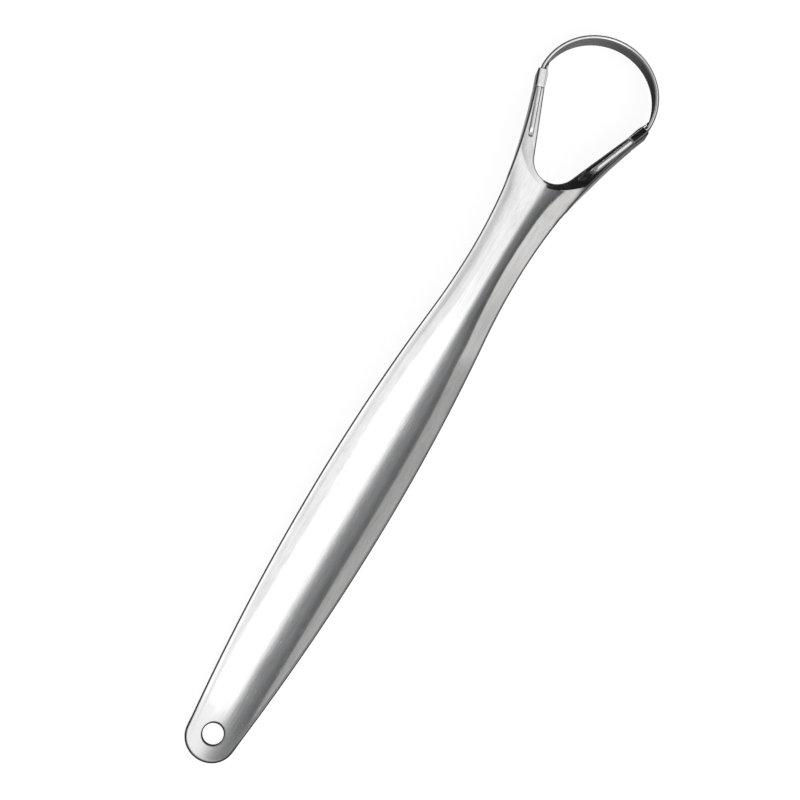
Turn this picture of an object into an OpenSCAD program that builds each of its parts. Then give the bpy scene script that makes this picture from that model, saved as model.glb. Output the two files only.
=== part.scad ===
// Tongue scraper: a pressed steel handle shell, forked at its head, and a thin
// steel band bent to a loop, whose two tails are gripped in the arms of the fork.
// It lies on its back, as photographed from above: the hollow side of the shell
// faces up, +X runs towards the loop, and it rests on the tail and the loop's tip.

/* [Handle outline] */
// From the hanging hole's centre to the end of the tail
tail_len = 5.6; // [4.5:0.1:7]
// Width of the handle at the hanging hole
tail_w = 10.2; // [9:0.1:12]
// Greatest width of the handle
belly_w = 15.75; // [14:0.05:18]
// Place of the greatest width, from the hole's centre
belly_x = 50; // [42:0.5:58]
// Least width of the handle, at its neck
neck_w = 10.7; // [9.5:0.1:12]
// Place of the neck, from the hole's centre
neck_x = 102; // [98:0.5:106]
// Part of the way from belly to neck that curves inwards, as a share
waist_share = 0.25; // [0.15:0.01:0.4]
// Diameter of the hanging hole
hole_d = 4; // [3:0.1:5]

/* [Handle shell] */
// Thickness of the pressed sheet
sheet_t = 0.55; // [0.45:0.01:0.7]
// Radius of the hollow across the handle, from its tail to its belly
hollow_r = 17; // [14:0.5:24]
// Depth of the hollow at the neck
neck_depth = 2.1; // [1.7:0.1:2.6]
// Depth of the hollow where the arms begin
fork_depth = 1.5; // [1.2:0.1:1.9]
// Angle between the handle and its head, seen from the side
bend_angle = 16; // [8:0.5:24]
// Start of that bend, from the hole's centre
bend_start = 82; // [74:1:88]
// Length of that bend
bend_len = 34; // [26:1:36]

/* [Fork] */
// From the bottom of the notch to the centre of the loop
notch_len = 19.2; // [17.2:0.2:21]
// Angle of the notch's sides to the middle line
notch_angle = 22; // [20:0.5:25]
// Thickness of the walls that stand behind the arms' faces
arm_wall = 0.45; // [0.35:0.01:0.55]
// Inner radius of the folds along the bottom of the clips
fold_r = 0.35; // [0.2:0.05:0.5]
// Length of the closed clip at the end of each arm
clip_len = 3.6; // [2.6:0.1:4.6]
// Thickness of the tab folded over the band at each clip
tab_t = 0.45; // [0.35:0.01:0.6]
// Length of the inner lip past the mouth of each clip
lip_len = 2.2; // [1.4:0.1:3]
// Thickness that the inner lip adds to the inner wall of each clip
lip_t = 0.2; // [0.1:0.05:0.4]

/* [Band] */
// Outside diameter of the loop
loop_d = 23.8; // [22:0.1:26]
// Centre of the loop, from the hole's centre along the handle
loop_x = 141.1; // [139.5:0.1:143]
// Height of the band
band_h = 4.6; // [3.6:0.1:5.4]
// Thickness of the band
band_t = 0.75; // [0.6:0.01:0.9]
// Rounding of the band's long edges
band_edge_r = 0.3; // [0.1:0.01:0.3]
// Angle of the band's tails to the middle line
tail_angle = 20; // [17:0.5:23]
// Length of each tail, from the corner where the loop begins
band_tail = 13.6; // [10:0.2:15]
// Radius of the bend between loop and tail, along the band's middle
corner_r = 2.2; // [1.4:0.1:3]
// Drop of that corner below the middle of the loop
corner_drop = 0.5; // [0.3:0.1:1.2]

/* [Fit] */
// Clearance between the band and the walls that grip it
band_gap = 0.03; // [0.02:0.01:0.06]
// Distance from the corner of the band back to the mouth of the clip
mouth_gap = 0.6; // [0.4:0.1:1]

/* [Hidden] */

$fn = 96;
steel = [0.78, 0.79, 0.8];
band_steel = [0.86, 0.87, 0.88];

// Past a face that a cut leaves
overrun = sheet_t;
right_angle = 90;
half_turn = 180;

// Height of an arc of radius r above its lowest point, at a distance run from it
function arc_rise(r, run) = r - sqrt(r * r - run * run);
// Radius of the arc that rises by rise over the distance run, level at its start
function arc_radius(run, rise) = (run * run + rise * rise) / (2 * rise);
// Smooth step from 0 to 1
function ease(t) = let (c = min(1, max(0, t))) c * c * (3 - 2 * c);
function mix(a, b, t) = a + (b - a) * t;

// Outline of the handle
side_r = arc_radius(belly_x, (belly_w - tail_w) / 2);
side_drop = side_r - belly_w / 2;
tail_reach = side_r - tail_len;
// Centre of the round tail, whose circle touches both sides
tail_cx = (tail_reach * tail_reach - side_drop * side_drop - belly_x * belly_x) / (2 * (tail_reach - belly_x));
tail_r = tail_cx + tail_len;
tail_turn_x = tail_cx - tail_r * (belly_x - tail_cx) / norm([belly_x - tail_cx, side_drop]);
// Two arcs that meet between belly and neck
waist_turn = 2 * atan((belly_w - neck_w) / 2 / (neck_x - belly_x));
waist_sum = (neck_x - belly_x) / sin(waist_turn);
waist_r = waist_share * waist_sum;
belly_r = waist_sum - waist_r;
turn_x = belly_x + belly_r * sin(waist_turn);

// Loop and tails of the band, in the plane of the head
band_r = (loop_d - band_t) / 2;
corner = [loop_x - corner_drop, sqrt(band_r * band_r - corner_drop * corner_drop)];
tail_dir = [-cos(tail_angle), -sin(tail_angle)];
tail_out = [-sin(tail_angle), cos(tail_angle)];
// Centre of the bend, which touches the loop from inside and the tail
bend_from = corner - corner_r * tail_out - [loop_x, 0];
bend_along = bend_from * tail_dir;
bend_reach = band_r - corner_r;
bend_shift = -bend_along - sqrt(bend_along * bend_along - bend_from * bend_from + bend_reach * bend_reach);
bend_c = [loop_x, 0] + bend_from + bend_shift * tail_dir;
loop_end = atan2(bend_c[1], bend_c[0] - loop_x);
tail_turn = right_angle + tail_angle;

// Clips, notch and arms, in the plane of the head
notch_x = loop_x - notch_len;
clip_half = band_t / 2 + band_gap + arm_wall;
clip_end = mouth_gap + clip_len;
clip_outer = corner + clip_end * tail_dir + clip_half * tail_out;
clip_inner = corner + clip_end * tail_dir - (clip_half + lip_t) * tail_out;
notch_r = (cos(notch_angle) * clip_inner[1] - sin(notch_angle) * (clip_inner[0] - notch_x))
    / (1 - sin(notch_angle));
notch_cx = notch_x + notch_r;
flare_r = arc_radius(clip_outer[0] - neck_x, clip_outer[1] - neck_w / 2);
channel_depth = band_h + 2 * band_gap;
inner_r = loop_d / 2 - band_t - band_gap;
lip_x = corner[0] - mouth_gap + lip_len;

// The walls behind the arms grow from the end of the bend until the band's tail begins
bend_end = bend_start + bend_len;
wall_end_x = corner[0] + band_tail * tail_dir[0];
function arm_share(u) = ease((u - bend_end) / (wall_end_x - bend_end));
// There the rims rise too, nearly to the face of the clips' tabs
function rim_rise(u) = tab_t * 2 / 3 * arm_share(u);

// Half the width that the arms need at u to hold the band's tails, in line with the clips
function room_w(u) = clip_outer[1] - max(0, clip_outer[0] - u) * tan(tail_angle);

// Half the width of the handle at its outer edges
function half_w(u) =
    u < belly_x ? belly_w / 2 - arc_rise(side_r, belly_x - u)
    : u < turn_x ? belly_w / 2 - arc_rise(belly_r, u - belly_x)
    : u < neck_x ? neck_w / 2 + arc_rise(waist_r, neck_x - u)
    : max(room_w(u), neck_w / 2 + arc_rise(flare_r, u - neck_x));

// Depth of the hollow on the middle line
function depth(u) =
    u < neck_x ? mix(arc_rise(hollow_r, half_w(u)), neck_depth, ease((u - belly_x) / (neck_x - belly_x)))
    : mix(neck_depth, fork_depth, arm_share(u));

// Step j of the section at u, from the middle at 0 to the edge, off the inner skin by out
half_steps = 10;
function section_point(u, j, out) = let (
    w = half_w(u),
    d = depth(u),
    b = w - sheet_t * sin(2 * atan(d / w)),
    r = arc_radius(b, d),
    a = 2 * atan(d / b) * j / half_steps
) [(r + out) * sin(a), rim_rise(u) - d + r - (r + out) * cos(a)];

// The path of the handle seen from the side: straight, a round bend, straight
bend_r = bend_len * half_turn / (PI * bend_angle);
function lean_at(u) = bend_angle * min(1, max(0, (u - bend_start) / bend_len));
function path_at(u) = let (a = lean_at(u))
    [bend_start + bend_r * sin(a), 0, -bend_r * (1 - cos(a))]
    + (u < bend_start ? u - bend_start : max(0, u - bend_end)) * [cos(a), 0, -sin(a)];
// A point of the head or handle: u along the path, y across, z above the rims
function on_path(u, y, z) = let (a = lean_at(u)) path_at(u) + [z * sin(a), y, z * cos(a)];

// How it lies: the tail's lower edge and the rounded tip of the band touch the table
tail_foot = on_path(-tail_len, 0, -depth(-tail_len) - sheet_t);
tip_foot = on_path(loop_x + loop_d / 2 - band_edge_r, 0, -band_gap - band_h + band_edge_r);
foot_span = tail_foot - tip_foot;
rest_angle = acos(-band_edge_r / norm(foot_span)) + atan2(foot_span[0], foot_span[2]);
function tilted(p) = [p[0] * cos(rest_angle) - p[2] * sin(rest_angle), p[1],
    p[0] * sin(rest_angle) + p[2] * cos(rest_angle)];
tip_crown = on_path(loop_x + loop_d / 2 - band_edge_r, 0, -band_gap - band_edge_r);
tail_rim = on_path(-tail_len, 0, -depth(-tail_len));
rest_low = tilted(tail_foot)[2];
rest_mid = (tilted(tail_rim)[0] + tilted(tip_crown)[0] + band_edge_r) / 2;

// Stations of the shell: widely spaced along the grip, closely along bend and fork
shell_start = -tail_len - overrun;
shell_end = clip_outer[0] + sheet_t;
grip_steps = 24;
fork_steps = 30;
stations = [
    for (i = [0 : grip_steps]) mix(shell_start, bend_start, i / grip_steps),
    for (i = [1 : fork_steps]) mix(bend_start, shell_end, i / fork_steps)
];

// One ring of the shell: the inner skin from side to side, then the outer skin back
ring_size = 4 * half_steps + 2;
function ring(u) = [
    for (j = [-half_steps : half_steps]) let (p = section_point(u, abs(j), 0)) on_path(u, sign(j) * p[0], p[1]),
    for (j = [-half_steps : half_steps]) let (p = section_point(u, abs(j), sheet_t)) on_path(u, -sign(j) * p[0], p[1])
];

// Puts children in the pose in which the object lies
module at_rest() {
    translate([-rest_mid, 0, -rest_low]) rotate([0, -rest_angle, 0]) children();
}

// Puts children that are drawn flat, u along X, into the plane of the head
module in_head() {
    translate(path_at(bend_end)) rotate([0, bend_angle, 0]) translate([-bend_end, 0, 0]) children();
}

module both_sides() {
    children();
    mirror([0, 1, 0]) children();
}

// Puts children beside the band's tail: X runs back along it, Y points inwards
module along_tail() {
    translate(corner) rotate(half_turn + tail_angle) children();
}

// A solid through rings of points, its two ends closed from side to side
module through_rings(rings) {
    size = len(rings[0]);
    last = len(rings) - 1;
    polyhedron(
        points = [for (ring = rings) each ring],
        faces = [
            for (i = [0 : last - 1], j = [0 : size - 1]) let (
                a = i * size + j,
                b = i * size + (j + 1) % size
            ) each [[a, b, a + size], [b, b + size, a + size]],
            for (i = [0, last], j = [0 : size / 2 - 2]) let (
                a = i * size + j,
                b = i * size + size - 1 - j
            ) each i == 0 ? [[a, b, b - 1], [a, b - 1, a + 1]] : [[a, b - 1, b], [a, a + 1, b - 1]]
        ]
    );
}

// The pressed sheet: two skins a sheet's thickness apart, closed along the rims
module shell() {
    through_rings([for (u = stations) ring(u)]);
}

// What lies behind the face of the head, down to the bottom edge of the arms' walls at u
function block_ring(u) = let (
    edge = section_point(u, half_steps, sheet_t),
    low = mix(edge[1], -channel_depth - sheet_t, arm_share(u)),
    face = [for (j = [1 - half_steps : half_steps - 1])
        let (p = section_point(u, abs(j), sheet_t / 2)) [sign(j) * p[0], p[1]]],
    top = concat([[-edge[0], edge[1]]], face, [[edge[0], edge[1]]])
) [
    for (p = top) on_path(u, p[0], p[1]),
    for (i = [len(top) - 1 : -1 : 0]) on_path(u, top[i][0], min(low, top[i][1] - band_gap))
];
head_stations = [for (i = [0 : fork_steps / 2]) mix(bend_end, shell_end, 2 * i / fork_steps)];
module head_block() {
    through_rings([for (u = head_stations) block_ring(u)]);
}

// The notch between the arms, grown by grow, up to the clips
module notch_area(grow) {
    side = [sin(notch_angle), -cos(notch_angle)];
    start = [notch_cx, 0] - (notch_r + grow) * side;
    stop = clip_inner - grow * side;
    translate([notch_cx, 0]) circle(r = notch_r + grow);
    polygon([start, stop, [stop[0], -stop[1]], [start[0], -start[1]]]);
}

// The space inside the band, drawn in by inset from its inner face, past a line at from_x
module inside_band(inset, from_x) {
    reach = corner + (clip_end + overrun) * tail_dir;
    shift = (band_t / 2 + band_gap + inset) * tail_out;
    foot = reach - shift;
    top = corner - loop_d / 2 * tail_dir - shift;
    intersection() {
        polygon([foot, top, [top[0], -top[1]], [foot[0], -foot[1]]]);
        union() {
            translate([loop_x, 0]) circle(r = inner_r - inset);
            translate([from_x, -loop_d]) square([loop_x - from_x, 2 * loop_d]);
        }
    }
}

// Where walls stand behind the arms' faces: round the notch and along the outline
module wall_area() {
    notch_area(arm_wall);
    both_sides() polygon(concat(
        [for (u = head_stations) [u, half_w(u) - arm_wall]],
        [[shell_end, loop_d], [bend_end, loop_d]]
    ));
}

module arm_walls() {
    intersection() {
        head_block();
        in_head() translate([0, 0, -2 * channel_depth]) linear_extrude(3 * channel_depth) wall_area();
    }
}

// The lip that runs on from each clip, along the inner face of the band
module lips() {
    translate([0, 0, -channel_depth - sheet_t]) linear_extrude(channel_depth + sheet_t) difference() {
        intersection() {
            inside_band(0, clip_inner[0]);
            translate([clip_inner[0], -loop_d]) square([lip_x - clip_inner[0], 2 * loop_d]);
        }
        inside_band(arm_wall + lip_t, clip_inner[0]);
    }
}

// Section of a closed clip: a box with round corners, on its side
module clip_section() {
    low = channel_depth + sheet_t;
    low_r = fold_r + sheet_t;
    high_r = tab_t / 2;
    for (side = [-1, 1]) {
        translate([-tab_t + high_r, side * (clip_half - high_r)]) circle(r = high_r);
    }
    translate([-tab_t, high_r - clip_half]) square([tab_t, 2 * (clip_half - high_r)]);
    translate([high_r - tab_t, -clip_half]) square([low - low_r + tab_t - high_r, 2 * clip_half]);
    translate([low - low_r, low_r - clip_half]) circle(r = low_r);
    translate([low - low_r, low_r - clip_half]) square([low_r, 2 * clip_half - low_r]);
}

// The closed clip at the end of an arm, with its tab folded over the band
module clip() {
    along_tail() translate([mouth_gap, 0, 0]) rotate([0, right_angle, 0]) linear_extrude(clip_len) clip_section();
}

// Room for a tail of the band: below the clip's tab, and as a slit with a round end in the arm's face
module tail_slot() {
    slot_w = band_t + 2 * band_gap;
    slot_end = band_tail + band_gap;
    along_tail() translate([0, 0, -channel_depth]) {
        translate([-overrun, -slot_w / 2, 0]) cube([slot_end + overrun, slot_w, channel_depth]);
        translate([clip_end, -slot_w / 2, 0]) cube([slot_end - clip_end, slot_w, channel_depth + 2 * tab_t]);
        translate([slot_end, 0, 0]) cylinder(d = slot_w, h = channel_depth + 2 * tab_t);
    }
}

// What the round tail of the handle is cut with
module tail_cut() {
    tall = 2 * (depth(0) + sheet_t);
    difference() {
        translate([-2 * tail_len, -belly_w, -tall]) cube([2 * tail_len + tail_turn_x, 2 * belly_w, 2 * tall]);
        translate([tail_cx, 0, -2 * tall]) cylinder(r = tail_r, h = 4 * tall);
    }
}

module handle() {
    color(steel) at_rest() difference() {
        union() {
            shell();
            arm_walls();
            in_head() lips();
            in_head() both_sides() clip();
        }
        in_head() translate([0, 0, -2 * channel_depth]) linear_extrude(4 * channel_depth) {
            notch_area(0);
            inside_band(arm_wall + lip_t, clip_inner[0]);
        }
        in_head() both_sides() tail_slot();
        tail_cut();
        translate([0, 0, -2 * channel_depth]) cylinder(d = hole_d, h = 4 * channel_depth);
    }
}

// A place on the band's middle line, with the angle of its outer face to the middle of the handle
function loop_place(a) = [loop_x + band_r * cos(a), band_r * sin(a), a];
function corner_place(a) = [bend_c[0] + corner_r * cos(a), bend_c[1] + corner_r * sin(a), a];
function tail_place(run) = [corner[0] + run * tail_dir[0], corner[1] + run * tail_dir[1], tail_turn];
function other_side(place) = [place[0], -place[1], -place[2]];

// Half of the band's middle line, from the tip of the loop to the end of a tail
loop_steps = 24;
corner_steps = 4;
half_line = [
    for (i = [0 : loop_steps]) loop_place(loop_end * i / loop_steps),
    for (i = [1 : corner_steps]) corner_place(mix(loop_end, tail_turn, i / corner_steps)),
    tail_place(band_tail)
];
band_line = [
    for (i = [len(half_line) - 1 : -1 : 1]) other_side(half_line[i]),
    for (place = half_line) place
];

// Section of the band: a tall thin bar with rounded edges, as [off the middle line, up]
edge_steps = 4;
band_section = [
    for (corner_at = [[1, 1, 0], [-1, 1, 1], [-1, -1, 2], [1, -1, 3]], i = [0 : edge_steps])
        let (a = right_angle * (corner_at[2] + i / edge_steps)) [
            corner_at[0] * (band_t / 2 - band_edge_r) + band_edge_r * cos(a),
            corner_at[1] * (band_h / 2 - band_edge_r) + band_edge_r * sin(a)]
];

module scraper_band() {
    size = len(band_section);
    last = len(band_line) - 1;
    color(band_steel) at_rest() in_head() translate([0, 0, -band_gap - band_h / 2]) polyhedron(
        points = [for (place = band_line, p = band_section)
            [place[0] + p[0] * cos(place[2]), place[1] + p[0] * sin(place[2]), p[1]]],
        faces = [
            for (i = [0 : last - 1], j = [0 : size - 1]) let (a = i * size + j, b = i * size + (j + 1) % size)
                each [[a, a + size, b], [b, a + size, b + size]],
            [for (j = [0 : size - 1]) j],
            [for (j = [size - 1 : -1 : 0]) last * size + j]
        ]
    );
}

handle();
scraper_band();
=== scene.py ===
"""Tongue scraper: a pressed stainless steel handle with a forked head, and a thin steel band
bent to a loop between its arms. It lies on its back on a pale table, hollow side up."""
import math

import bmesh
import bpy
import numpy as np
from mathutils import Matrix, Vector


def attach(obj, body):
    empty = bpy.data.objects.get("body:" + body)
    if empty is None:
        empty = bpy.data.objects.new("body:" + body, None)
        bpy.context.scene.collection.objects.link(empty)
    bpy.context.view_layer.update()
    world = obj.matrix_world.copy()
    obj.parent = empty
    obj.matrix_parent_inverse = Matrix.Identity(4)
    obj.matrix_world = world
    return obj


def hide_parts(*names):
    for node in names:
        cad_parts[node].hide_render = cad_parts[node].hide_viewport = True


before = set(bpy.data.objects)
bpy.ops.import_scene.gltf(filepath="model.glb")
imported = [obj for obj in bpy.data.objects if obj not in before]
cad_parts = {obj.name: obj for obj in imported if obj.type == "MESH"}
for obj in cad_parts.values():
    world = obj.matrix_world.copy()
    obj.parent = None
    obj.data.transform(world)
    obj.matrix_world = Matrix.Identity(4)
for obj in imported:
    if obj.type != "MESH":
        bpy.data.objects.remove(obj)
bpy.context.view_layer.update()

MM = 0.001

# Handle outline and hollow, in millimetres from the hanging hole's centre
TAIL_LEN = 5.6
TAIL_W = 10.2
BELLY_W = 15.75
BELLY_X = 50.0
NECK_W = 10.7
NECK_X = 102.0
WAIST_SHARE = 0.25
HOLE_R = 2.0
SHEET_T = 0.55
HOLLOW_R = 17.0
NECK_DEPTH = 2.1
FORK_DEPTH = 1.5
BEND_ANGLE = math.radians(16)
BEND_START = 82.0
BEND_LEN = 34.0

# Fork, clips and the lips on their inner sides
NOTCH_LEN = 19.2
NOTCH_ANGLE = math.radians(22)
ARM_WALL = 0.45
CLIP_LEN = 3.6
TAB_T = 0.45
LIP_LEN = 2.2
LIP_T = 0.2

# Band
LOOP_D = 23.8
LOOP_X = 141.1
BAND_H = 4.6
BAND_T = 0.75
BAND_EDGE_R = 0.3
TAIL_ANGLE = math.radians(20)
BAND_TAIL = 13.6
CORNER_R = 2.2
CORNER_DROP = 0.5
BAND_GAP = 0.03
MOUTH_GAP = 0.6

# Curved crease across the fork, past which its face is pressed down
CREASE_X = 120.6
CREASE_BOW = 0.076
CREASE_RUN = 3.6
CREASE_DROP = 0.36

# Rolled edges of the sheet, and the groove round each slit for the band's tail
HOLE_ROUND = 0.5
RIM_ROLL = 0.8
RIM_SLOPE = 0.2
RIM_RUN = 3.0
WALL_ROLL = 0.6
GROOVE = 0.05
GROOVE_RUN = 0.12

# How far the painted shade of the cut edges reaches over the faces
EDGE_REACH = 0.46
SOFT_EDGE_REACH = 0.5
HOLE_REACH = 0.26
HOLE_REACH_LONG = 0.24
NOTCH_REACH = 0.26
SLIT_REACH = 0.22
SLIT_SIDE_SHARE = 0.35
SLIT_END_RUN = 0.3

# Shapes of the clips and lips, and the painted shade on them
TAB_SLOPE = 0.3
CLIP_RADII = (0.8, 0.3, 0.3, 0.9)
BORE_RADII = (0.3, 0.12, 0.3, 0.3)
CLIP_ROUND = 0.16
BORE_ROUND = 0.1
CLIP_DARK = 0.36
CLIP_DARK_RUN = 0.12
LIP_STAND = 0.1
LIP_TURN = 0.125
LIP_START = 0.1
LIP_SLIM = 0.45
LIP_SLIM_FROM = 0.45
LIP_TOP = -0.06
LIP_RISE = 0.4
LIP_LIFT = 0.9
LIP_SINK = 0.84
LIP_NOSE = 0.12
LIP_SHADE = 0.2

# Shapes of the band's tails, and how far into them the painted shade on the loop's outer edge
# reaches
TAIL_EDGE_R = 0.14
TAIL_END_R = 1.3
TAIL_NOSE = 0.34
TAIL_EDGE_RUN = 3.0
LOOP_SHADE_RUN = 2.0

# Lines drawn across the sheet and the steps along them, lines across the band, and where the
# sheet's lines meet its outline
TAIL_ARC_LINES = 40
TAIL_LINES = 90
GRIP_LINES = 150
FORK_LINES = 130
FRONT_STEPS = 40
BACK_STEPS = 24
CURVE_STEPS = 10
FACE_STEPS = 4
LOOP_LINES = 120
CORNER_LINES = 14
STRAIGHT_LINES = 70
FAN_END = 14.0
FAN_RUN = 40.0
FORK_LEAN = 4.4
FORK_LEAN_X = 100.0
FORK_STOPS = (120.6, 124.4)
CLIP_TUCK = 0.12

# Points closer than this are one, and faces thinner than that are dropped, in metres
WELD = 2e-7
THIN = 1e-9

# Patterns on the steel: grains to the metre along and across the tool, the turns of the
# scratches, and between which places, in metres, the rougher zone round the hole, with its painted
# shade, fades out
HANDLE_LINES = (110.0, 4200.0, 4200.0)
BAND_LINES = (260.0, 5200.0, 5200.0)
FILM_GRAIN = (140.0, 190.0, 190.0)
SCRATCH_TURNS = (0.35, -0.6, 1.1)
DULL_SHADE_SPAN = (-0.0740, -0.0640)

# Table, and the camera's lens, place and directions
TABLE_HALF = 6.0
TABLE_GREY = 0.26
TABLE_GLOW = 0.85
LENS = 190
SENSOR = 36
SPOT = (-0.07535, -0.01356, 0.79259)
TO_LENS = (-0.0931, -0.0199, 0.9955)
TO_RIGHT = (0.5139, -0.8573, 0.0309)


def arc_rise(r, run):
    """Height of an arc of radius r over its lowest point, at run from it: the radius less the
    square root of its square less the run's square."""
    return r - np.sqrt(r * r - run * run)


def arc_radius(run, rise):
    """Radius of the arc that is level at its start and rises by rise over run: the sum of their
    squares over twice the rise."""
    return (run * run + rise * rise) / (2 * rise)


def ease(t):
    """Smooth step 3t^2 - 2t^3, held at 0 and 1."""
    c = np.clip(t, 0, 1)
    return c * c * (3 - 2 * c)


def mix(a, b, t):
    """Straight blend, a at t = 0 and b at t = 1."""
    return a + (b - a) * t


def bezier(a, b, c, t):
    """Curve from a to c that is pulled towards b: the quadratic Bezier curve."""
    return a * (1 - t) ** 2 + 2 * b * t * (1 - t) + c * t * t


def unit(p):
    """Vectors divided by their lengths."""
    return p / np.linalg.norm(p, axis=-1, keepdims=True)


# Outline: round tail, long side arc, belly and waist arcs, flaring arms
SIDE_R = arc_radius(BELLY_X, (BELLY_W - TAIL_W) / 2)
SIDE_DROP = SIDE_R - BELLY_W / 2
TAIL_REACH = SIDE_R - TAIL_LEN
TAIL_CX = (TAIL_REACH ** 2 - SIDE_DROP ** 2 - BELLY_X ** 2) / (2 * (TAIL_REACH - BELLY_X))
TAIL_R = TAIL_CX + TAIL_LEN
WAIST_TURN = 2 * math.atan((BELLY_W - NECK_W) / 2 / (NECK_X - BELLY_X))
WAIST_SUM = (NECK_X - BELLY_X) / math.sin(WAIST_TURN)
WAIST_R = WAIST_SHARE * WAIST_SUM
BELLY_R = WAIST_SUM - WAIST_R
TURN_X = BELLY_X + BELLY_R * math.sin(WAIST_TURN)
BEND_R = BEND_LEN / BEND_ANGLE
BEND_END = BEND_START + BEND_LEN

# The band's corner between loop and tail, in the plane of the head
BAND_R = (LOOP_D - BAND_T) / 2
LOOP_C = np.array([LOOP_X, 0])
CORNER = np.array([LOOP_X - CORNER_DROP, math.sqrt(BAND_R ** 2 - CORNER_DROP ** 2)])
TAIL_DIR = np.array([-math.cos(TAIL_ANGLE), -math.sin(TAIL_ANGLE)])
TAIL_OUT = np.array([-math.sin(TAIL_ANGLE), math.cos(TAIL_ANGLE)])
TAIL_TURN = math.pi / 2 + TAIL_ANGLE
BEND_FROM = CORNER - CORNER_R * TAIL_OUT - LOOP_C
BEND_ALONG = BEND_FROM @ TAIL_DIR
BEND_SHIFT = -BEND_ALONG - math.sqrt(
    BEND_ALONG ** 2 - BEND_FROM @ BEND_FROM + (BAND_R - CORNER_R) ** 2)
BEND_C = LOOP_C + BEND_FROM + BEND_SHIFT * TAIL_DIR
LOOP_END = math.atan2(BEND_C[1], BEND_C[0] - LOOP_X)

# Clips, slits and walls
CLIP_HALF = BAND_T / 2 + BAND_GAP + ARM_WALL
CLIP_END = MOUTH_GAP + CLIP_LEN
CLIP_OUTER = CORNER + CLIP_END * TAIL_DIR + CLIP_HALF * TAIL_OUT
CLIP_INNER = CORNER + CLIP_END * TAIL_DIR - (CLIP_HALF + LIP_T) * TAIL_OUT
SLOT_END = BAND_TAIL + BAND_GAP
SLOT_HALF = BAND_T / 2 + BAND_GAP
CHANNEL_DEPTH = BAND_H + 2 * BAND_GAP
WALL_END_X = CORNER[0] + BAND_TAIL * TAIL_DIR[0]
WALL_FOOT = -CHANNEL_DEPTH - SHEET_T
FLARE_R = arc_radius(CLIP_OUTER[0] - NECK_X, CLIP_OUTER[1] - NECK_W / 2)

# Notch: an arc at its bottom, then a straight side to the clip's inner corner
NOTCH_X = LOOP_X - NOTCH_LEN
NOTCH_R = ((math.cos(NOTCH_ANGLE) * CLIP_INNER[1]
            - math.sin(NOTCH_ANGLE) * (CLIP_INNER[0] - NOTCH_X))
           / (1 - math.sin(NOTCH_ANGLE)))
NOTCH_CX = NOTCH_X + NOTCH_R
ARC_LEN = NOTCH_R * (math.pi / 2 - NOTCH_ANGLE)
NOTCH_RUN = ARC_LEN + math.hypot(*(CLIP_INNER - [NOTCH_CX - NOTCH_R * math.sin(NOTCH_ANGLE),
                                                 NOTCH_R * math.cos(NOTCH_ANGLE)]))


def half_w(u):
    """Half the handle's width at u: circle arcs joined at belly, turn and neck."""
    u = np.asarray(u, float)
    side = BELLY_W / 2 - arc_rise(SIDE_R, BELLY_X - u)
    belly = BELLY_W / 2 - arc_rise(BELLY_R, np.clip(u - BELLY_X, 0, TURN_X))
    waist = NECK_W / 2 + arc_rise(WAIST_R, np.clip(NECK_X - u, 0, NECK_X - TURN_X))
    flare = NECK_W / 2 + arc_rise(FLARE_R, np.clip(u - NECK_X, 0, None))
    return np.where(u < BELLY_X, side,
                    np.where(u < TURN_X, belly, np.where(u < NECK_X, waist, flare)))


def arm_share(u):
    """How far the walls behind the arms have grown at u: a smooth step from the bend's end to
    the ends of the band's tails."""
    return ease((u - BEND_END) / (WALL_END_X - BEND_END))


def rim_lift(u):
    """How far the rims are lifted at u: two thirds of a tab's thickness over the arms."""
    return TAB_T * 2 / 3 * arm_share(u)


def depth(u):
    """Depth of the hollow on the middle line: an arc's rise across the handle, eased from the
    belly on to the neck's depth, and over the arms to the fork's."""
    hollow_arc = arc_rise(HOLLOW_R, np.minimum(half_w(u), HOLLOW_R))
    to_neck = ease((u - BELLY_X) / (NECK_X - BELLY_X))
    return np.where(u < NECK_X, mix(hollow_arc, NECK_DEPTH, to_neck),
                    mix(NECK_DEPTH, FORK_DEPTH, arm_share(u)))


def hollow(u):
    """Radius of the hollow's arc at u, and the angle of the sheet at its rim: the arc through
    the inner rims, half_w less the sheet's slanting thickness, and as deep as depth(u)."""
    w, d = half_w(u), depth(u)
    b = w - SHEET_T * np.sin(2 * np.arctan(d / w))
    return arc_radius(b, d), 2 * np.arctan(d / b)


def fork_press(u, y):
    """How far the fork's face is pressed down: nothing up to a crease whose place grows with
    y squared, and past it a fall that starts steep and levels out, 1 - (1 - t)^1.5."""
    past = np.clip((u - CREASE_X - CREASE_BOW * y * y) / CREASE_RUN, 0, 1)
    return CREASE_DROP * (1 - (1 - past) ** 1.5)


def sheet_z(u, y, off):
    """Height of a skin above the plan point (u, y): an arc across the handle whose centre is the
    hollow's, of radius r + off, plus the rims' lift and less the fork's press."""
    r = hollow(u)[0]
    return rim_lift(u) - depth(u) + r - np.sqrt((r + off) ** 2 - y * y) - fork_press(u, y)


def wall_low(u):
    """Lower edge of the walls at u: it sinks from the sheet's own edge to the clips' underside."""
    r, turn = hollow(u)
    edge = rim_lift(u) - depth(u) + r - (r + SHEET_T) * np.cos(turn)
    return mix(edge, WALL_FOOT, arm_share(u))


def along_path(u, y, z):
    """Straight, a round bend of 16 degrees, straight: turns (u, y, z above the rims) into space."""
    a = BEND_ANGLE * np.clip((u - BEND_START) / BEND_LEN, 0, 1)
    run = np.where(u < BEND_START, u - BEND_START, np.maximum(0, u - BEND_START - BEND_LEN))
    x = BEND_START + BEND_R * np.sin(a) + run * np.cos(a) + z * np.sin(a)
    down = BEND_R * (1 - np.cos(a)) + run * np.sin(a)
    return np.stack([x, y + 0 * x, z * np.cos(a) - down], -1)


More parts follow.
